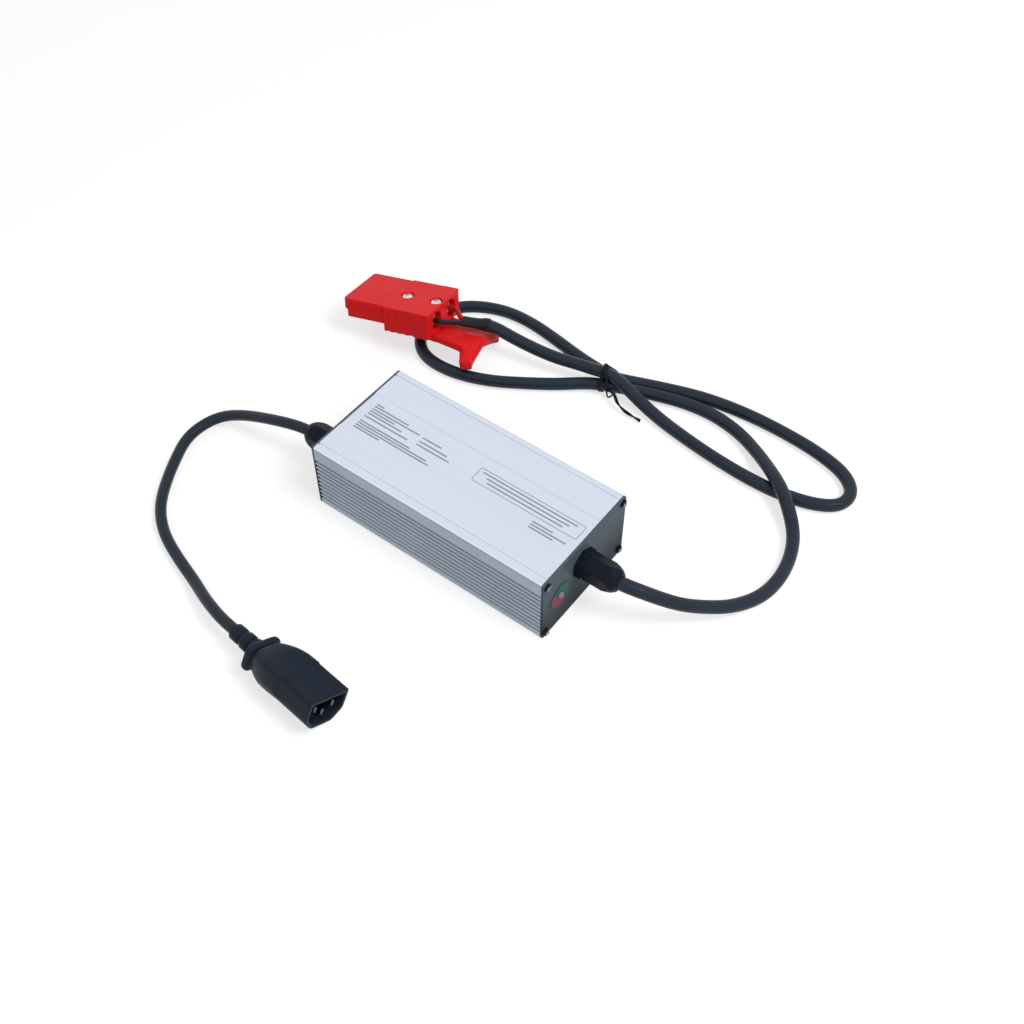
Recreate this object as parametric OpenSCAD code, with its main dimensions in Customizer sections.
// Portable lead-acid battery charger for small electric trucks.
// Extruded aluminium case with two screwed end plates, a mains lead with an inlet plug,
// and an output lead, bundled with a wire tie, that ends in a two-pole battery connector.
// Millimetres. X runs along the case, with the output end at +X; Z is up; the origin is
// the middle of the case's underside.

/* [Case] */
// Length of the aluminium extrusion, without the end plates
case_l = 177; // [150:1:260]
// Overall width of the extrusion
case_w = 86; // [80:1:120]
// Overall height of the extrusion
case_h = 54; // [50:1:80]
// Outer corner radius of the extrusion and the plates
case_corner_r = 2; // [1:0.5:4]
// Thickness of the ribbed side walls
side_wall = 3.6; // [3:0.2:5]
// Thickness of the top and bottom walls
skin_wall = 2.4; // [1.6:0.2:4]
// Number of cooling grooves down each side
groove_count = 10; // [4:1:10]
// Spacing of the cooling grooves
groove_pitch = 3.9; // [3:0.1:4]
// Height of the lowest groove's middle above the underside
groove_first_z = 6.4; // [6:0.1:9]
// Depth of a cooling groove
groove_depth = 1.5; // [0.6:0.1:2]
// Width of a cooling groove at the surface
groove_mouth = 2.5; // [1.6:0.1:2.8]
// Width of a cooling groove at its root
groove_root = 1; // [0.6:0.1:1.4]

/* [Top face] */
// Distance of the fine edge lines from the case's sides
edge_line_inset = 5.5; // [4.5:0.5:8]
// Width of a fine edge line
edge_line_w = 1; // [0.6:0.1:2]
// Depth of a fine edge line
edge_line_depth = 0.6; // [0.3:0.1:1]
// Width of the shallow label panel along the top
panel_w = 34; // [20:1:50]
// Depth of the label panel
panel_depth = 0.2; // [0.2:0.1:0.8]

/* [End plates] */
// Thickness of the end plates
plate_t = 1.5; // [1:0.1:3]
// Clearance round screws and gland threads in the plates
plate_clearance = 0.25; // [0.15:0.05:0.5]

/* [Plate screws] */
// Thread diameter of the plate screws
screw_d = 3; // [2.5:0.5:4]
// Length of a plate screw under its head
screw_l = 11; // [8:1:16]
// Diameter of a pan head
screw_head_d = 5.8; // [5:0.1:7]
// Height of a pan head
screw_head_h = 2.3; // [1.8:0.1:3]
// Distance of the screws from the case's sides
screw_inset_y = 3.6; // [3.4:0.1:6]
// Distance of the screws from the case's top and underside
screw_inset_z = 4.2; // [3.8:0.1:6]
// Wall of the screw ports in the extrusion
port_wall = 1.6; // [1.2:0.1:2.4]
// Gap between a screw's thread and its port
port_clearance = 0.1; // [0.05:0.05:0.2]

/* [Board rails] */
// Height of the circuit board's underside above the case's underside
board_z = 13; // [12:0.5:16]
// Thickness of the circuit board
board_t = 1.6; // [1.2:0.2:2.4]
// Depth of the rails that hold the board's edges
rail_depth = 2.4; // [2:0.2:3]
// Thickness of a rail
rail_t = 1.4; // [1:0.2:2]
// Play of the board in its rails
board_play = 0.2; // [0.1:0.05:0.4]
// Length of the circuit board
board_l = 138; // [110:1:140]

/* [Cable glands] */
// Width across the flats of the gland body
gland_af = 18; // [17:0.5:21]
// Thickness of the gland body's hexagon
gland_hex_t = 5; // [4:0.5:7]
// Width across the flats of the clamping nut
gland_nut_af = 17; // [16.5:0.5:20]
// Length of the clamping nut, with its dome
gland_nut_l = 22.5; // [20:0.5:28]
// Length of the domed end of the clamping nut
gland_dome_l = 8; // [5:0.5:10]
// Thread diameter of the gland
gland_thread_d = 14.6; // [14:0.2:15.2]
// Length of the thread inside the case
gland_thread_l = 8; // [6.5:0.5:9]
// Width across the flats of the lock nut
locknut_af = 18; // [17:0.5:20]
// Thickness of the lock nut
locknut_t = 4; // [3:0.5:5]
// Clearance between gland pieces
gland_clearance = 0.2; // [0.15:0.05:0.3]
// Sideways place of the output gland
dc_gland_y = -3; // [-10:0.5:10]
// Height of the output gland
dc_gland_z = 36.5; // [28:0.5:38]
// Sideways place of the mains gland
ac_gland_y = -18; // [-19:0.5:10]
// Height of the mains gland
ac_gland_z = 29; // [27:0.5:38]

/* [Indicator] */
// Distance of the indicator lamp from the near edge of the plate
lamp_inset = 18; // [16:0.5:21]
// Height of the indicator lamp
lamp_z = 26.5; // [24:0.5:30]
// Diameter of the indicator lamp's dome
lamp_d = 5; // [3:1:5]
// Diameter of the round legend film round the lamp
legend_d = 20; // [14:1:22]
// Thickness of the legend film
legend_t = 0.3; // [0.2:0.1:0.5]

/* [Cables] */
// Outer diameter of the mains cable
ac_cable_d = 7.5; // [6:0.1:7.8]
// Outer diameter of the output cable
dc_cable_d = 8.8; // [7:0.1:9]
// Outer diameter of one output core with its insulation
core_d = 3.8; // [3:0.1:4.2]
// Outer diameter of one mains core with its insulation
mains_core_d = 2.2; // [1.8:0.1:2.6]

/* [Mains plug] */
// Width of the plug's shroud
plug_w = 31; // [29:0.2:32]
// Height of the plug's shroud
plug_h = 21.8; // [21:0.2:23]
// Size of the shroud's two chamfers on the earth side
plug_chamfer = 7.2; // [6:0.1:8]
// Wall of the shroud
plug_wall = 2.4; // [1.8:0.1:2.8]
// Length of the shroud
plug_shroud_l = 26; // [23:0.5:32]
// Depth of the shroud's cavity
plug_cavity_l = 19; // [17:0.5:21]
// Length of the moulded grip between the shroud and the finger flange
plug_grip_l = 32; // [26:0.5:40]
// Length of the strain relief
plug_relief_l = 22.5; // [18:0.5:30]
// Width of the finger flange
plug_flange_w = 25.4; // [22:0.2:26]
// Height of the finger flange
plug_flange_h = 18; // [16:0.2:19]
// Thickness of the finger flange
plug_flange_t = 5; // [4:0.5:6]
// Spacing of the line and neutral pins
pin_spacing = 14; // [13:0.5:15]
// Width of a flat pin
pin_w = 4; // [3.5:0.1:4.5]
// Thickness of a flat pin
pin_t = 2; // [1.6:0.1:2.4]
// Length of the pins in the cavity
pin_l = 17; // [14:0.5:18]

/* [Battery connector] */
// Length of the connector housing
housing_l = 69; // [66:0.5:74]
// Width of the housing's grip
housing_w = 49; // [47:0.5:54]
// Width of the housing's mating half
mate_w = 45; // [43:0.5:46]
// Thickness of the housing
housing_t = 19; // [18.5:0.5:22]
// Length of the mating half
mate_l = 33; // [31:0.5:36]
// Set-back of the lower lip at the mating end
lip_back = 2.5; // [1.5:0.5:5]
// Thickness of the mating half
mate_t = 14; // [13.5:0.5:15.5]
// Spacing of the two poles
pole_spacing = 22; // [21:0.5:24]
// Diameter of the cable entries
entry_d = 13; // [11:0.5:14]
// Diameter of a contact's crimp barrel
barrel_d = 8; // [7:0.5:9]
// Spacing of the two handle screws
handle_screw_spacing = 23; // [20:0.5:24]
// Distance of the rear handle screw from the housing's rear face
handle_screw_inset = 6; // [6:0.5:8]
// Thread diameter of the handle screws
handle_screw_d = 4; // [3:0.5:4]

/* [Pull handle] */
// Thickness of the handle's plate
handle_t = 5.5; // [4:0.5:6]
// Width of the handle's stem
handle_w = 31; // [24:0.5:32]
// Distance from the housing's rear face to the middle of the bar
handle_reach = 22; // [20:0.5:28]
// How far the stem bends down between the housing and the bar
stem_droop = 4; // [2:0.5:4]
// Distance of each bar tip from the middle
bar_half = 21.8; // [19:0.2:23]
// Spread of the bar's root along the stem
bar_root_l = 9.5; // [6:0.5:11]
// Diameter of the bar's rounded edge
bar_d = 9.6; // [8:0.2:9.8]
// How far the bar's tips sweep back
bar_sweep = 5.5; // [4:0.5:8]
// How far the bar's tips drop below its middle
bar_drop = 5.8; // [3:0.2:6]

/* [Hidden] */
$fn = 48;
eps = 0.01;

// Faces and walls that several pieces share
plate_in_x = case_l / 2;
plate_out_x = plate_in_x + plate_t;
inner_w = case_w - 2 * side_wall;
inner_top = case_h - skin_wall;
screw_y = case_w / 2 - screw_inset_y;
screw_zs = [screw_inset_z, case_h - screw_inset_z];
port_d = screw_d + 2 * port_clearance;
port_r = port_d / 2 + port_wall;
board_top = board_z + board_t;
board_w = inner_w - 2 * board_play;
rail_top = board_top + board_play + rail_t;

// Gland stations, measured outwards from the plate's outer face
gland_l = gland_hex_t + gland_nut_l;
lamp_y = lamp_inset - case_w / 2;
gland_exit_x = plate_out_x + gland_l;
collet_d = gland_thread_d - 2.6;
seal_l = 9;
nut_recess_d = gland_thread_d + 2 * gland_clearance;
nut_thread_l = gland_nut_l - gland_dome_l;
nut_end_d = 12;

// Places of the lead's plug and connector, as they lie, and their turns about X, Y and Z
plug_step = 0.6;
plug_roll = 29;
grip_room = 0.5;
floor_gap = 0.2;
plug_low_y = plug_w / 2 + plug_step - grip_room - plug_chamfer;
plug_low_z = (plug_h + plug_step) / 2;
plug_rest_z = plug_low_y * sin(plug_roll) + plug_low_z * cos(plug_roll) + floor_gap;
plug_place = [25.5, -164, plug_rest_z];
plug_turn = [-plug_roll, 0, -6];
connector_place = [-119.4, 125, 37.8];
connector_turn = [14.2, 7, 193];

// A point turned about X, then Y, then Z
function turned(p, a) =
    let (px = [p.x, p.y * cos(a.x) - p.z * sin(a.x), p.y * sin(a.x) + p.z * cos(a.x)])
    let (py = [px.x * cos(a.y) + px.z * sin(a.y), px.y, pz_after_y(px, a.y)])
    [py.x * cos(a.z) - py.y * sin(a.z), py.x * sin(a.z) + py.y * cos(a.z), py.z];
function pz_after_y(p, angle) = p.z * cos(angle) - p.x * sin(angle);
function on_plug(p) = plug_place + turned(p, plug_turn);
function on_connector(p) = connector_place + turned(p, connector_turn);
function unit(v) = v / norm(v);

// Where the strain relief ends and where the output cable's jacket ends
plug_l = plug_shroud_l + plug_grip_l + plug_relief_l;
relief_end = on_plug([-plug_l, 0, 0]);
relief_run_in = on_plug([-plug_l - 12, 0, 0]);
jacket_end = [-90.6, 135, 25];
jacket_dir = unit([-31, -16, 2]);

// The mains cable's way from inside the mains gland to the plug
ac_route = [
    [-plate_in_x + gland_thread_l, ac_gland_y, ac_gland_z],
    [-gland_exit_x, ac_gland_y, ac_gland_z],
    [-130, -20, 28.5], [-142, -22, 26], [-159, -24, 20.5], [-176, -27, 14.5], [-190, -33, 9],
    [-197, -44, 5.5], [-198, -58, 3.9], [-191, -75, 3.8], [-182, -92, 3.8],
    [-172, -107, 3.8], [-162, -117, 3.8], [-148, -126, 3.8], [-129, -133.5, 4],
    [-106, -141, 5.8], [-87, -148.5, 10.4], relief_run_in, relief_end
];

// The output cable's way: out of the gland, round the right side and over itself to the
// tie, round the left loop under the connector, round the right loop, and to the connector
dc_route = [
    [plate_in_x - gland_thread_l, dc_gland_y, dc_gland_z],
    [gland_exit_x, dc_gland_y, dc_gland_z],
    [129, 0.5, 34.5], [140, 7.5, 28], [150, 15, 22], [159, 24, 17], [172.5, 41, 10], [182, 63, 5.5],
    [183, 88, 4.6], [175, 113, 6], [160, 130, 11], [150, 138, 13.8], [139, 147, 11.8],
    [120, 161, 7], [100, 171, 4.8], [78, 175, 4.5], [56, 173, 4.6], [33, 165.5, 5.4],
    [14, 157.5, 6.4], [4, 153, 6.8], [-8, 147.5, 6], [-27, 134, 4.5], [-46, 121, 4.5],
    [-66, 109, 4.5], [-86, 101.5, 4.5], [-104, 99, 4.5], [-120, 101.5, 4.5],
    [-131.5, 110.5, 4.5], [-137, 121.5, 4.5], [-138.5, 134, 4.5], [-136, 147, 4.5],
    [-129, 158, 4.5], [-113, 168.5, 4.5], [-97, 173.5, 4.5], [-76, 174, 4.5],
    [-52, 170.5, 4.5], [-30, 166, 5], [-12, 163, 6.2], [4, 162, 6.8], [18, 168, 6],
    [36, 176, 4.8], [64, 185, 4.5], [94, 189.5, 4.5], [125, 190, 4.5], [155, 187, 4.5],
    [177, 180, 4.5], [187.5, 168.5, 4.5], [186, 156, 4.5], [173, 147, 4.5],
    [152, 141.5, 4.5], [130, 140, 4.5], [102, 141.5, 4.5], [72, 145.5, 4.5],
    [50, 149.5, 4.8], [34, 152.5, 7], [22, 154, 11], [12, 155.2, 14.2], [4, 156, 15.4],
    [-6, 153.8, 15], [-20, 151.3, 14.5], [-38, 146.5, 15], [-58, 142.5, 17.8],
    [-74.5, 139.4, 21.6], jacket_end - 5 * jacket_dir, jacket_end
];

// The wire tie's band holds the three strands where they cross this station
tie_x = 4;
tie_strands = [[153, 6.8], [162, 6.8], [156, 15.4]];
tie_d = 1.2;
tie_tail = [
    [tie_x, 149.5, 12.5], [10, 146.5, 8], [20, 145.5, 3.5], [32, 144.5, 1.6], [46, 142, 1.4]
];

// A tube swept along a route: one ring of corners at each point, closed at both ends
module tube_along(route, d, sides) {
    last = len(route) - 1;
    rings = [
        for (i = [0 : last])
            let (ahead = route[min(i + 1, last)] - route[max(i - 1, 0)])
            let (t = unit(i == 0 ? route[1] - route[0] : i == last ? route[last] - route[last - 1] : ahead))
            let (s = unit(cross(t, [0, 0, 1])))
            let (n = cross(s, t))
            for (k = [0 : sides - 1])
                route[i] + d / 2 * (cos(360 * k / sides) * s + sin(360 * k / sides) * n)
    ];
    walls = [
        for (i = [0 : last - 1], k = [0 : sides - 1])
            let (k2 = (k + 1) % sides)
            each [
                [i * sides + k, (i + 1) * sides + k2, (i + 1) * sides + k],
                [i * sides + k, i * sides + k2, (i + 1) * sides + k2]
            ]
    ];
    start = [for (k = [sides - 1 : -1 : 0]) k];
    end = [for (k = [0 : sides - 1]) last * sides + k];
    polyhedron(rings, concat(walls, [start], [end]), convexity = 6);
}

// A moulded form lofted along X through stations of [x, half width, half height], each a
// superellipse whose power makes it boxier
module loft_x(stations, power, corners) {
    last = len(stations) - 1;
    points = [
        for (s = stations, k = [0 : corners - 1])
            let (c = cos(360 * (k + 0.5) / corners), n = sin(360 * (k + 0.5) / corners))
            [
                s[0],
                s[1] * sign(c) * pow(abs(c), 2 / power),
                s[2] * sign(n) * pow(abs(n), 2 / power)
            ]
    ];
    walls = [
        for (i = [0 : last - 1], k = [0 : corners - 1])
            let (k2 = (k + 1) % corners)
            each [
                [i * corners + k, (i + 1) * corners + k, (i + 1) * corners + k2],
                [i * corners + k, (i + 1) * corners + k2, i * corners + k2]
            ]
    ];
    start = [for (k = [0 : corners - 1]) k];
    end = [for (k = [corners - 1 : -1 : 0]) last * corners + k];
    polyhedron(points, concat(walls, [start], [end]), convexity = 4);
}

// Flat shapes drawn as sideways against height, stood up and extruded along +X
module along_x(length) {
    rotate([90, 0, 90])
        linear_extrude(length)
            children();
}

module rod_x(d, length) {
    rotate([0, 90, 0])
        cylinder(d = d, h = length);
}

module hex_x(af, length) {
    rotate([0, 90, 0])
        cylinder(d = af / cos(30), h = length, $fn = 6);
}

module rounded_rectangle(w, h, r) {
    translate([-w / 2 + r, 0])
        square([w - 2 * r, h]);
    translate([-w / 2, r])
        square([w, h - 2 * r]);
    for (y = [-w / 2 + r, w / 2 - r], z = [r, h - r])
        translate([y, z])
            circle(r);
}

// The case: one aluminium extrusion with ribbed sides, board rails and screw ports

module cooling_grooves() {
    for (side = [-1, 1], i = [0 : groove_count - 1])
        translate([side * case_w / 2, groove_first_z + i * groove_pitch])
            polygon([
                [side * eps, -groove_mouth / 2], [side * eps, groove_mouth / 2],
                [-side * groove_depth, groove_root / 2], [-side * groove_depth, -groove_root / 2]
            ]);
}

module top_lines() {
    for (side = [-1, 1])
        translate([side * (case_w / 2 - edge_line_inset) - edge_line_w / 2, case_h - edge_line_depth])
            square([edge_line_w, edge_line_depth + eps]);
    translate([-panel_w / 2, case_h - panel_depth])
        square([panel_w, panel_depth + eps]);
}

module board_rails() {
    for (side = [-1, 1], z = [board_z - board_play - rail_t, board_top + board_play])
        translate([side * (inner_w / 2 - rail_depth / 2) - rail_depth / 2 - eps, z])
            square([rail_depth + 2 * eps, rail_t]);
}

module screw_ports() {
    for (side = [-1, 1], z = screw_zs)
        translate([side * screw_y, z])
            circle(port_r);
}

module port_holes() {
    for (side = [-1, 1], z = screw_zs)
        translate([side * screw_y, z])
            circle(d = port_d);
}

module case_section() {
    difference() {
        rounded_rectangle(case_w, case_h, case_corner_r);
        difference() {
            translate([-inner_w / 2, skin_wall])
                square([inner_w, inner_top - skin_wall]);
            board_rails();
            screw_ports();
        }
        port_holes();
        cooling_grooves();
        top_lines();
    }
}

module case_extrusion() {
    color("#c9ced8")
        translate([-case_l / 2, 0, 0])
            along_x(case_l)
                case_section();
}

// End plates: flat painted steel, drilled for four screws, a gland and, in front, the lamp

module plate_blank(gland_y, gland_z) {
    difference() {
        rounded_rectangle(case_w, case_h, case_corner_r);
        for (side = [-1, 1], z = screw_zs)
            translate([side * screw_y, z])
                circle(d = screw_d + 2 * plate_clearance);
        translate([gland_y, gland_z])
            circle(d = gland_thread_d + 2 * plate_clearance);
    }
}

module front_end_plate() {
    color("#4a4f57")
        translate([plate_in_x, 0, 0])
            along_x(plate_t)
                difference() {
                    plate_blank(dc_gland_y, dc_gland_z);
                    translate([lamp_y, lamp_z])
                        circle(d = lamp_d + 2 * plate_clearance);
                }
}

module rear_end_plate() {
    color("#4a4f57")
        translate([-plate_out_x, 0, 0])
            along_x(plate_t)
                plate_blank(ac_gland_y, ac_gland_z);
}

// A cross-recess pan-head screw along X, with its head's underside at x = 0

module pan_head_screw(d, length, head_d, head_h) {
    rim = head_h * 0.35;
    dome_r = (head_d * head_d / 4 + (head_h - rim) * (head_h - rim)) / (2 * (head_h - rim));
    slot_w = head_d * 0.16;
    difference() {
        union() {
            rotate([0, -90, 0])
                translate([0, 0, -eps])
                    cylinder(d = d, h = length + eps);
            rotate([0, 90, 0])
                intersection() {
                    cylinder(d = head_d, h = head_h);
                    translate([0, 0, head_h - dome_r])
                        sphere(dome_r);
                }
        }
        for (turn = [0, 90])
            rotate([turn, 0, 0])
                translate([head_h * 0.45, -head_d * 0.3, -slot_w / 2])
                    cube([head_h, head_d * 0.6, slot_w]);
    }
}

module plate_screws() {
    for (side = [-1, 1], z = screw_zs)
        translate([plate_out_x, side * screw_y, z])
            pan_head_screw(screw_d, screw_l, screw_head_d, screw_head_h);
}

module front_plate_screws() {
    color("#2e3136")
        plate_screws();
}

module rear_plate_screws() {
    color("#2e3136")
        rotate([0, 0, 180])
            plate_screws();
}

// Indicator: a two-colour lamp in the plate, inside a thin round legend film

module indicator_legend() {
    color("#3f6f5f")
        translate([plate_out_x, lamp_y, lamp_z])
            rotate([0, 90, 0])
                difference() {
                    cylinder(d = legend_d, h = legend_t);
                    translate([0, 0, -eps])
                        cylinder(d = lamp_d + 2 * plate_clearance, h = legend_t + 2 * eps);
                }
}

module indicator_lamp() {
    flange_d = lamp_d + 0.9;
    flange_t = 1;
    dome_l = plate_t + 1;
    leg_l = 9;
    leg_t = 0.5;
    color("#e8ece6")
        translate([plate_in_x, lamp_y, lamp_z])
            rotate([0, 90, 0]) {
                translate([0, 0, -flange_t])
                    cylinder(d = flange_d, h = flange_t);
                cylinder(d = lamp_d, h = dome_l - lamp_d / 2 + 1);
                intersection() {
                    translate([0, 0, dome_l - lamp_d / 2 + 1])
                        sphere(d = lamp_d);
                    cylinder(d = lamp_d, h = dome_l + 2);
                }
                for (side = [-1.27, 1.27])
                    translate([-leg_t / 2, side - leg_t / 2, -flange_t - leg_l])
                        cube([leg_t, leg_t, leg_l + eps]);
            }
}

// Cable glands: body, rubber seal, domed clamping nut and lock nut, drawn along +X from the
// plate's outer face at x = 0

module gland_body(cable_d) {
    bore = cable_d + 2 * gland_clearance + 0.4;
    difference() {
        union() {
            hex_x(gland_af, gland_hex_t);
            translate([-plate_t - gland_thread_l, 0, 0])
                rod_x(gland_thread_d, plate_t + gland_thread_l + eps);
            translate([gland_hex_t - eps, 0, 0])
                rod_x(gland_thread_d, nut_thread_l - gland_clearance + eps);
        }
        translate([-plate_t - gland_thread_l - eps, 0, 0])
            rod_x(bore, gland_l + plate_t + gland_thread_l);
        translate([gland_hex_t + nut_thread_l - gland_clearance - seal_l, 0, 0])
            rod_x(collet_d, seal_l + eps);
    }
}

module gland_seal(cable_d) {
    translate([gland_hex_t + nut_thread_l - gland_clearance - seal_l, 0, 0])
        difference() {
            rod_x(collet_d - 2 * gland_clearance, seal_l);
            translate([-eps, 0, 0])
                rod_x(cable_d + gland_clearance, seal_l + 2 * eps);
        }
}

// The nut's hexagon is rounded off by a revolved envelope that ends in the dome
module gland_nut(cable_d) {
    corner_d = gland_nut_af / cos(30);
    dome_x = nut_thread_l;
    translate([gland_hex_t, 0, 0])
        difference() {
            intersection() {
                hex_x(gland_nut_af, gland_nut_l);
                rotate([0, 90, 0])
                    rotate_extrude()
                        polygon([
                            [0, 0], [corner_d / 2 - 0.8, 0], [corner_d / 2 - 0.2, 0.8],
                            [corner_d / 2 - 0.2, dome_x], [corner_d / 2 - 0.9, dome_x + gland_dome_l * 0.35],
                            [corner_d / 2 - 2, dome_x + gland_dome_l * 0.7],
                            [nut_end_d / 2, gland_nut_l], [0, gland_nut_l]
                        ]);
            }
            translate([-eps, 0, 0])
                rod_x(nut_recess_d, nut_thread_l + eps);
            rod_x(cable_d + 4 * gland_clearance, gland_l);
        }
}

module gland_locknut() {
    translate([-plate_t - locknut_t, 0, 0])
        difference() {
            hex_x(locknut_af, locknut_t);
            translate([-eps, 0, 0])
                rod_x(nut_recess_d, locknut_t + 2 * eps);
        }
}

module at_dc_gland() {
    translate([plate_out_x, dc_gland_y, dc_gland_z])
        children();
}

module at_ac_gland() {
    translate([-plate_out_x, ac_gland_y, ac_gland_z])
        rotate([0, 0, 180])
            children();
}

module dc_gland_body() {
    color("#202225") at_dc_gland() gland_body(dc_cable_d);
}

module dc_gland_seal() {
    color("#151515") at_dc_gland() gland_seal(dc_cable_d);
}

module dc_gland_nut() {
    color("#202225") at_dc_gland() gland_nut(dc_cable_d);
}

module dc_gland_locknut() {
    color("#202225") at_dc_gland() gland_locknut();
}

module ac_gland_body() {
    color("#202225") at_ac_gland() gland_body(ac_cable_d);
}

module ac_gland_seal() {
    color("#151515") at_ac_gland() gland_seal(ac_cable_d);
}

module ac_gland_nut() {
    color("#202225") at_ac_gland() gland_nut(ac_cable_d);
}

module ac_gland_locknut() {
    color("#202225") at_ac_gland() gland_locknut();
}

// Inside: the board in its rails, with the mains side at -X and the output side at +X

module circuit_board() {
    color("#3f6b45")
        translate([-board_l / 2, -board_w / 2, board_z])
            cube([board_l, board_w, board_t]);
}

module insulating_sheet() {
    sheet_t = 0.5;
    sheet_w = 2 * (screw_y - port_r - 1);
    color("#d9d6c6")
        translate([-board_l / 2, -sheet_w / 2, skin_wall])
            cube([board_l, sheet_w, sheet_t]);
}

// A piece that stands on the board at x, y
module on_board(x, y) {
    translate([x, y, board_top])
        children();
}

module mains_fuse() {
    fuse_d = 5.2;
    fuse_l = 20;
    cap_l = 5;
    lift = 1.4;
    fuse_inset = 17;
    fuse_edge = 15.2;
    color("#c8ccd0")
        on_board(fuse_inset - board_l / 2, board_w / 2 - fuse_edge) {
            for (end = [0, fuse_l - cap_l])
                translate([end - fuse_l / 2, -fuse_d / 2, 0])
                    cube([cap_l, fuse_d, lift + fuse_d / 2]);
            translate([-fuse_l / 2, 0, lift + fuse_d / 2])
                rod_x(fuse_d, fuse_l);
        }
}

module filter_capacitor() {
    film_t = 9;
    film_w = 18;
    film_h = 16;
    film_inset = 13;
    film_y = 6;
    color("#c9a227")
        on_board(film_inset - board_l / 2, film_y)
            translate([-film_t / 2, -film_w / 2, 0])
                cube([film_t, film_w, film_h]);
}

module line_filter_choke() {
    core_r = 9;
    wire_r = 4.5;
    choke_inset = 33;
    choke_y = 6;
    base_l = 14;
    base_w = 22;
    base_t = 2;
    color("#7a3b1e")
        on_board(choke_inset - board_l / 2, choke_y) {
            translate([0, 0, core_r + wire_r])
                rotate([0, 90, 0])
                    rotate_extrude()
                        translate([core_r, 0])
                            circle(wire_r);
            translate([-base_l / 2, -base_w / 2, 0])
                cube([base_l, base_w, base_t]);
        }
}

module bridge_rectifier() {
    bridge_l = 22;
    bridge_t = 3.6;
    bridge_h = 20;
    bridge_inset = 7.2;
    bridge_x = 33;
    color("#1d1f22")
        on_board(bridge_x - board_l / 2, board_w / 2 - bridge_inset)
            translate([-bridge_l / 2, -bridge_t / 2, 0])
                cube([bridge_l, bridge_t, bridge_h]);
}

module bulk_capacitors() {
    bulk_d = 22;
    bulk_h = 30;
    bulk_pitch = 26;
    bulk_middle_y = -1;
    bulk_x = -10;
    color("#23324a")
        for (side = [-1, 1])
            on_board(bulk_x, bulk_middle_y + side * bulk_pitch / 2)
                cylinder(d = bulk_d, h = bulk_h);
}

module switching_transformer() {
    core_w = 35;
    core_h = 29;
    core_t = 11;
    bobbin_l = 26;
    bobbin_h = 22;
    transformer_x = 23;
    transformer_y = 4;
    color("#3a3d42")
        on_board(transformer_x, transformer_y) {
            translate([-core_t / 2, -core_w / 2, 0])
                cube([core_t, core_w, core_h]);
            translate([-bobbin_l / 2, -core_w / 2 + 5, (core_h - bobbin_h) / 2])
                cube([bobbin_l, core_w - 10, bobbin_h]);
            for (side = [-1, 1])
                translate([side * (bobbin_l / 2 - 2) - 2, -core_w / 2 + 3, 0])
                    cube([4, core_w - 6, 6]);
        }
}

// The bar stands on the upper board rail and carries heat into the ribbed wall
bar_t = 5;
bar_l = 96;
bar_h = 26;

module heat_spreader_bar() {
    color("#b7bcc4")
        translate([-bar_l / 2, -inner_w / 2, rail_top])
            cube([bar_l, bar_t, bar_h]);
}

module power_transistors() {
    pack_w = 15.5;
    pack_t = 4.8;
    pack_h = 20.5;
    pack_xs = [-30, 6, 38];
    leg_w = 1.2;
    leg_t = 0.8;
    leg_pitch = 5.4;
    leg_y = 2;
    lift = 2;
    color("#1d1f22")
        for (x = pack_xs)
            translate([x, -inner_w / 2 + bar_t, rail_top + lift]) {
                translate([-pack_w / 2, 0, 0])
                    cube([pack_w, pack_t, pack_h]);
                for (leg = [-leg_pitch, 0, leg_pitch])
                    translate([leg - leg_w / 2, leg_y, board_top - rail_top - lift])
                        cube([leg_w, leg_t, rail_top - board_top + lift + eps]);
            }
}

module output_choke() {
    core_r = 9;
    wire_r = 4.5;
    choke_inset = 17;
    choke_y = 16;
    color("#c77a2b")
        on_board(board_l / 2 - choke_inset, choke_y)
            translate([0, 0, wire_r])
                rotate_extrude()
                    translate([core_r, 0])
                        circle(wire_r);
}

module output_capacitors() {
    small_can_d = 12.5;
    small_can_h = 20;
    small_can_pitch = 15;
    small_can_y = -16.5;
    small_can_inset = 13;
    color("#2a2d31")
        for (side = [-1, 1])
            on_board(board_l / 2 - small_can_inset, small_can_y + side * small_can_pitch / 2)
                cylinder(d = small_can_d, h = small_can_h);
}

// A lead from a cable's inner end to the board: straight, a quarter bend, and down
module lead_to_board(d, run, drop) {
    bend_r = 6;
    rod_x(d, run);
    translate([run, 0, -bend_r])
        rotate([90, 0, 0])
            rotate_extrude(angle = 90)
                translate([bend_r, 0])
                    circle(d = d);
    translate([run + bend_r, 0, -drop])
        cylinder(d = d, h = drop - bend_r);
}

module mains_leads() {
    spread = mains_core_d + 0.2;
    color("#7b4a2b")
        for (i = [-1, 0, 1])
            translate([-plate_in_x + gland_thread_l, ac_gland_y + i * spread, ac_gland_z])
                lead_to_board(mains_core_d, 12 + 3 * abs(i), ac_gland_z - board_top);
}

module output_leads() {
    spread = core_d + 0.2;
    color("#b3241c")
        for (i = [-0.5, 0.5])
            translate([plate_in_x - gland_thread_l, dc_gland_y + i * spread, dc_gland_z])
                rotate([0, 0, 180])
                    lead_to_board(core_d, 9, dc_gland_z - board_top);
}

// The mains lead and its moulded plug, drawn with the mouth's face at x = 0 and +X outwards

module ac_cable() {
    color("#1b1d21")
        tube_along(ac_route, ac_cable_d, 10);
}

// Outline of the shroud: flat top, two chamfered corners on the earth side
module shroud_outline(w, h, chamfer) {
    polygon([
        [-w / 2, h / 2], [w / 2, h / 2], [w / 2, -h / 2 + chamfer], [w / 2 - chamfer, -h / 2],
        [-w / 2 + chamfer, -h / 2], [-w / 2, -h / 2 + chamfer]
    ]);
}

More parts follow.
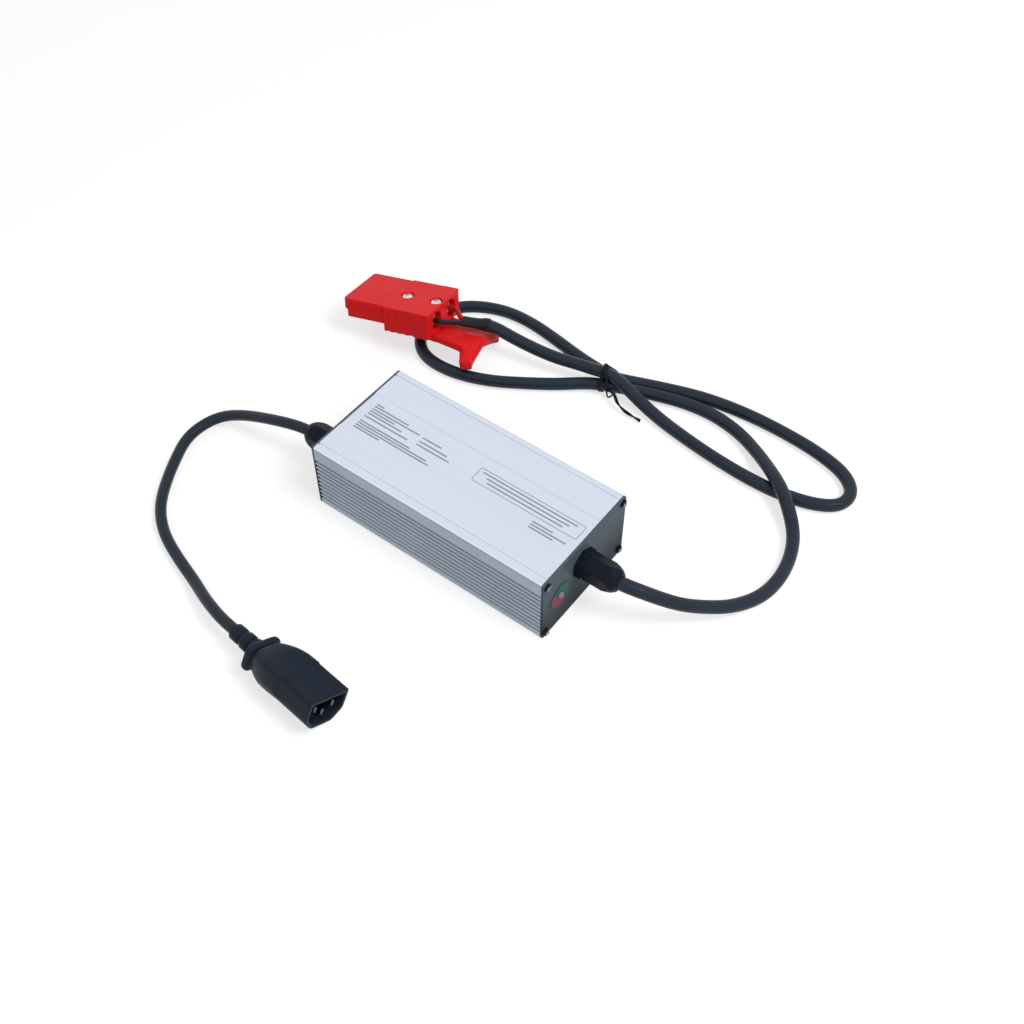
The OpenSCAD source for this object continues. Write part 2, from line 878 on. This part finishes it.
module plug_grip() {
    front = -plug_shroud_l;
    back = front - plug_grip_l;
    half_w = plug_w / 2 + plug_step;
    half_h = (plug_h + plug_step) / 2;
    neck = ac_cable_d / 2 + 3.5;
    intersection() {
        loft_x([
            [back, neck, neck * 0.94],
            [back + plug_grip_l * 0.2, neck + (half_w - neck) * 0.58, neck + (half_h - neck) * 0.55],
            [back + plug_grip_l * 0.45, neck + (half_w - neck) * 0.9, neck + (half_h - neck) * 0.88],
            [back + plug_grip_l * 0.72, neck + (half_w - neck) * 1.03, neck + (half_h - neck)],
            [front, half_w, half_h]
        ], 4.5, 32);
        translate([back - 1, 0, 0])
            along_x(plug_grip_l + 2)
                shroud_outline(2 * (half_w + grip_room), 2 * half_h, plug_chamfer + 2 * grip_room);
    }
}

module plug_relief() {
    rings = 3;
    pitch = plug_relief_l / rings;
    root_d = ac_cable_d + 1.6;
    groove = 1.8;
    translate([-plug_l, 0, 0])
        rod_x(root_d, plug_relief_l + eps);
    for (i = [0 : rings - 1])
        translate([-plug_l + i * pitch + (i == 0 ? 0 : groove), 0, 0])
            rod_x(root_d + 1.8 + 0.8 * i, pitch - (i == 0 ? 0 : groove) + (i == rings - 1 ? eps : 0));
}

// The finger flange: a rounded plate behind the grip
module plug_flange() {
    corner_r = 4;
    behind = 1.5;
    translate([-plug_shroud_l - plug_grip_l - behind, 0, 0])
        along_x(plug_flange_t)
            translate([0, -plug_flange_h / 2])
                rounded_rectangle(plug_flange_w, plug_flange_h, corner_r);
}

module ac_plug_body() {
    color("#1d2027")
        translate(plug_place)
            rotate(plug_turn)
                difference() {
                    union() {
                        translate([-plug_shroud_l - eps, 0, 0])
                            along_x(plug_shroud_l + eps)
                                shroud_outline(plug_w, plug_h, plug_chamfer);
                        plug_grip();
                        plug_flange();
                        plug_relief();
                    }
                    translate([-plug_cavity_l, 0, 0])
                        along_x(plug_cavity_l + eps)
                            shroud_outline(plug_w - 2 * plug_wall, plug_h - 2 * plug_wall,
                                plug_chamfer - plug_wall * 0.6);
                }
}

module ac_plug_pins() {
    pin_z = 2;
    color("#c9c6bd")
        translate(plug_place)
            rotate(plug_turn)
                for (p = [[-pin_spacing / 2, pin_z], [pin_spacing / 2, pin_z], [0, pin_z - 4]])
                    translate([-plug_cavity_l, p[0] - pin_t / 2, p[1] - pin_w / 2]) {
                        cube([pin_l - pin_t / 2, pin_t, pin_w]);
                        translate([pin_l - pin_t / 2, pin_t / 2, 0])
                            cylinder(d = pin_t, h = pin_w);
                    }
}

// The output lead, and its two cores where the jacket ends

module dc_cable() {
    color("#1b1d21")
        tube_along(dc_route, dc_cable_d, 10);
}

// A child drawn along +X is laid along the jacket's last stretch, with x = 0 at its end
module at_jacket_end() {
    translate(jacket_end)
        rotate([0, -asin(jacket_dir.z), atan2(jacket_dir.y, jacket_dir.x)])
            children();
}

// Two cores side by side, as one oval
module core_pair_oval(room) {
    hull()
        for (side = [-1, 1])
            translate([side * core_aside, 0])
                circle(core_d / 2 + room);
}

// The sleeve: a ring shrunk over the jacket's end and an oval shrunk over the two cores
core_aside = core_d * 0.52;
sleeve_neck_l = 16;

module heat_shrink_sleeve() {
    ring_back = 4;
    ring_front = 1.2;
    wall = 0.7;
    room = 0.15;
    bore = dc_cable_d + 2 * room;
    color("#17181b")
        at_jacket_end()
            difference() {
                union() {
                    translate([-ring_back, 0, 0])
                        rod_x(bore + 2 * wall, ring_back + ring_front);
                    along_x(sleeve_neck_l)
                        core_pair_oval(room + wall);
                }
                translate([-ring_back - eps, 0, 0])
                    rod_x(bore, ring_back + 2 * eps);
                translate([-eps, 0, 0])
                    along_x(sleeve_neck_l + 2 * eps)
                        core_pair_oval(room);
            }
}

// One core's way from the jacket's end through the sleeve into its cable entry
core_entry_x = 3;
function core_route(side) =
    let (aside = unit(cross([0, 0, 1], jacket_dir)))
    let (start = jacket_end + side * core_aside * aside)
    [
        start,
        start + (sleeve_neck_l + 0.5) * jacket_dir,
        on_connector([-4, side * pole_spacing / 2, -housing_t / 2]),
        on_connector([core_entry_x, side * pole_spacing / 2, -housing_t / 2])
    ];

module positive_wire() {
    color("#a3201c")
        tube_along(core_route(-1), core_d, 8);
}

module negative_wire() {
    color("#17181b")
        tube_along(core_route(1), core_d, 8);
}

// The battery connector, drawn with the middle of its rear top edge at the origin, +X to the
// mating end and +Y to the first pole's side

entry_l = housing_l - mate_l - 2;
window_w = pole_spacing - 4;
window_h = mate_t - 4;
window_z = -mate_t + 2;
barrel_x = core_entry_x;

module connector_frame() {
    translate(connector_place)
        rotate(connector_turn)
            children();
}

// Plan outline: the grip flares out to its rear end, then steps in to the mating half
waist_out = 0.4;

module housing_outline() {
    grip_l = housing_l - mate_l;
    waist = (housing_w + mate_w) / 4 + waist_out;
    polygon([
        [0, -housing_w / 2 + 1], [1, -housing_w / 2], [10, -housing_w / 2], [16, -waist],
        [grip_l, -waist], [grip_l, -mate_w / 2], [housing_l - 1.5, -mate_w / 2],
        [housing_l, -mate_w / 2 + 1.5], [housing_l, mate_w / 2 - 1.5], [housing_l - 1.5, mate_w / 2],
        [grip_l, mate_w / 2], [grip_l, waist], [16, waist], [10, housing_w / 2],
        [1, housing_w / 2], [0, housing_w / 2 - 1]
    ]);
}

// Shallow upright finger scallops down both sides of the grip
module finger_ribs() {
    ribs = 4;
    first = 15;
    rib_d = 8;
    rib_depth = 0.7;
    below_top = 2.5;
    wall_y = (housing_w + mate_w) / 4 + waist_out;
    pitch = (housing_l - mate_l - first - 3) / (ribs - 1);
    for (side = [-1, 1], i = [0 : ribs - 1])
        translate([first + i * pitch, side * (wall_y + rib_d / 2 - rib_depth), -housing_t - eps])
            cylinder(d = rib_d, h = housing_t - below_top);
}

module handle_screw_places() {
    for (x = [handle_screw_inset, handle_screw_inset + handle_screw_spacing])
        translate([x, 0, 0])
            children();
}

screw_hole_d = handle_screw_d + 0.6;
screw_seat_d = handle_screw_d * 2 + 1.6;
screw_seat_depth = 2;

module connector_housing() {
    color("#d3262b")
        connector_frame()
            difference() {
                translate([0, 0, -housing_t])
                    linear_extrude(housing_t)
                        housing_outline();
                translate([housing_l - mate_l, -housing_w / 2, -housing_t - eps])
                    cube([mate_l + eps, housing_w, housing_t - mate_t + eps]);
                translate([housing_l - lip_back, -housing_w / 2, -mate_t - eps])
                    cube([lip_back + eps, housing_w, mate_t * 0.42]);
                for (side = [-1, 1]) {
                    translate([-eps, side * pole_spacing / 2, -housing_t / 2])
                        rod_x(entry_d, entry_l + eps);
                    translate([entry_l - 1, side * pole_spacing / 2 - window_w / 2, window_z])
                        cube([housing_l, window_w, window_h]);
                }
                handle_screw_places() {
                    translate([0, 0, -housing_t - eps])
                        cylinder(d = screw_hole_d, h = housing_t + 1);
                    translate([0, 0, -screw_seat_depth])
                        cylinder(d = screw_seat_d, h = screw_seat_depth + 1);
                }
                finger_ribs();
            }
}

// Contacts: a crimp barrel and a flat blade whose tip hooks over
blade_t = 2.2;
blade_w = 13;
blade_z = window_z + 1.2;
blade_start = entry_l - 0.8;
blade_end = housing_l - 10;

module connector_contacts() {
    color("#c8cbd0")
        connector_frame()
            for (side = [-1, 1])
                translate([0, side * pole_spacing / 2, 0]) {
                    translate([barrel_x, 0, -housing_t / 2])
                        rod_x(barrel_d, entry_l - barrel_x);
                    translate([blade_start, -blade_w / 2, blade_z])
                        cube([blade_end - blade_start, blade_w, blade_t]);
                    translate([blade_end - 4, -blade_w / 2, blade_z + blade_t - eps])
                        cube([4, blade_w, 0.9]);
                }
}

// Each contact rides on a flat leaf spring that lies on the floor of its window
module connector_springs() {
    spring_t = 1;
    spring_w = 9;
    spring_x = entry_l + 2;
    color("#9aa0a6")
        connector_frame()
            for (side = [-1, 1])
                translate([spring_x, side * pole_spacing / 2 - spring_w / 2, window_z])
                    cube([blade_end - 4 - spring_x, spring_w, spring_t]);
}

// The pull handle: a tapered plate screwed under the housing, bent down behind it, and a swept
// bar across its end
handle_top = -housing_t;
handle_front = handle_screw_inset + handle_screw_spacing + 5;
handle_mid = handle_top - stem_droop - handle_t / 2;

module handle_plan() {
    taper = 7;
    polygon([
        [handle_front, -handle_w / 2 + taper], [handle_front, handle_w / 2 - taper], [0, handle_w / 2],
        [-handle_reach, handle_w / 2], [-handle_reach, -handle_w / 2], [0, -handle_w / 2]
    ]);
}

module handle_side() {
    bend_x = -2;
    polygon([
        [handle_front, handle_top], [bend_x, handle_top], [-handle_reach, handle_top - stem_droop],
        [-handle_reach, handle_top - stem_droop - handle_t], [bend_x, handle_top - handle_t],
        [handle_front, handle_top - handle_t]
    ]);
}

module handle_stem() {
    intersection() {
        translate([0, 0, handle_top - stem_droop - handle_t - 1])
            linear_extrude(stem_droop + handle_t + 2)
                handle_plan();
        translate([0, handle_w, 0])
            rotate([90, 0, 0])
                linear_extrude(2 * handle_w)
                    handle_side();
    }
}

// One arm of the bar, from its root on the stem's end to its drooping tip
module handle_arm(side) {
    hull() {
        for (end = [-1, 1])
            translate([-handle_reach + end * bar_root_l / 2, 0, handle_mid])
                sphere(d = bar_d, $fn = 20);
        translate([-handle_reach - bar_sweep, side * bar_half, handle_mid - bar_drop])
            sphere(d = bar_d, $fn = 20);
    }
}

module connector_handle() {
    color("#d3262b")
        connector_frame()
            difference() {
                union() {
                    handle_stem();
                    handle_arm(-1);
                    handle_arm(1);
                }
                handle_screw_places()
                    translate([0, 0, -housing_t - handle_t - eps])
                        cylinder(d = screw_hole_d, h = handle_t + 1);
            }
}

nut_af = handle_screw_d * 1.75;
nut_t = handle_screw_d * 0.8;

module handle_screws() {
    color("#d9dce0")
        connector_frame()
            handle_screw_places()
                translate([0, 0, -screw_seat_depth])
                    rotate([0, -90, 0])
                        pan_head_screw(handle_screw_d, housing_t - screw_seat_depth + handle_t + nut_t,
                            handle_screw_d * 1.95, handle_screw_d * 0.65);
}

module handle_nuts() {
    color("#c4c8cc")
        connector_frame()
            handle_screw_places()
                translate([0, 0, -housing_t - handle_t - nut_t])
                    difference() {
                        cylinder(d = nut_af / cos(30), h = nut_t, $fn = 6);
                        translate([0, 0, -eps])
                            cylinder(d = handle_screw_d + 0.2, h = nut_t + 2 * eps);
                    }
}

// The wire tie: a flat band round three strands of the output cable, and its twisted tail

module tie_loop(r) {
    hull()
        for (p = tie_strands)
            translate(p)
                circle(r);
}

module twist_tie() {
    band_w = 2.4;
    slack = 0.9;
    color("#17181b") {
        translate([tie_x - band_w / 2, 0, 0])
            along_x(band_w)
                difference() {
                    tie_loop(dc_cable_d / 2 + slack + tie_d);
                    tie_loop(dc_cable_d / 2 + slack);
                }
        tube_along(tie_tail, 2, 8);
    }
}

case_extrusion();
front_end_plate();
rear_end_plate();
front_plate_screws();
rear_plate_screws();
indicator_legend();
indicator_lamp();
dc_gland_body();
dc_gland_seal();
dc_gland_nut();
dc_gland_locknut();
ac_gland_body();
ac_gland_seal();
ac_gland_nut();
ac_gland_locknut();
circuit_board();
insulating_sheet();
mains_fuse();
filter_capacitor();
line_filter_choke();
bridge_rectifier();
bulk_capacitors();
switching_transformer();
heat_spreader_bar();
power_transistors();
output_choke();
output_capacitors();
mains_leads();
output_leads();
ac_cable();
ac_plug_body();
ac_plug_pins();
dc_cable();
heat_shrink_sleeve();
positive_wire();
negative_wire();
connector_housing();
connector_contacts();
connector_springs();
connector_handle();
handle_screws();
handle_nuts();
twist_tie();
